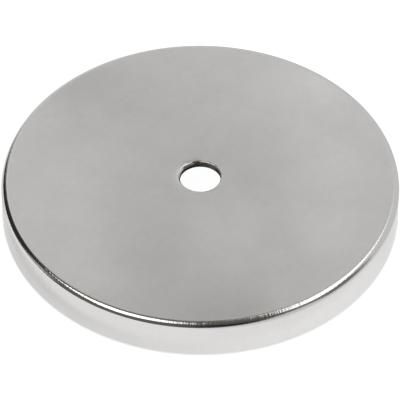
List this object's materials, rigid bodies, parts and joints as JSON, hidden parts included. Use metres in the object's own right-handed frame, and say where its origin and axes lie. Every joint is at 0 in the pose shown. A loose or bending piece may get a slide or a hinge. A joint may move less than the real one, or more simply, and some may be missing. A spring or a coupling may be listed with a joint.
{
  "type": "disc magnet",
  "caption": "Round flat disc magnet: a shallow plated steel cup with a ferrite ring glued inside it and a screw hole through the middle of its back.",
  "frame": {"origin": "on the axis of the disc, in the plane of the cup's rim that it stands on", "axes": "+Z along the axis, from the open side and the magnet's working face up to the closed flat back; X and Y are free, because the object is round"},
  "size_m": [0.0812, 0.0812, 0.0083],
  "materials": {
    "plated_steel": "bright nickel plate, satin on the flat back and glossy round the bend and the wall",
    "ferrite": "sintered ferrite, ground face, matt dark grey",
    "epoxy": "cured amber adhesive"
  },
  "bodies": {
    "root": {"cup": "plated_steel", "ring_magnet": "ferrite", "epoxy_bond": "epoxy"}
  },
  "joints": []
}
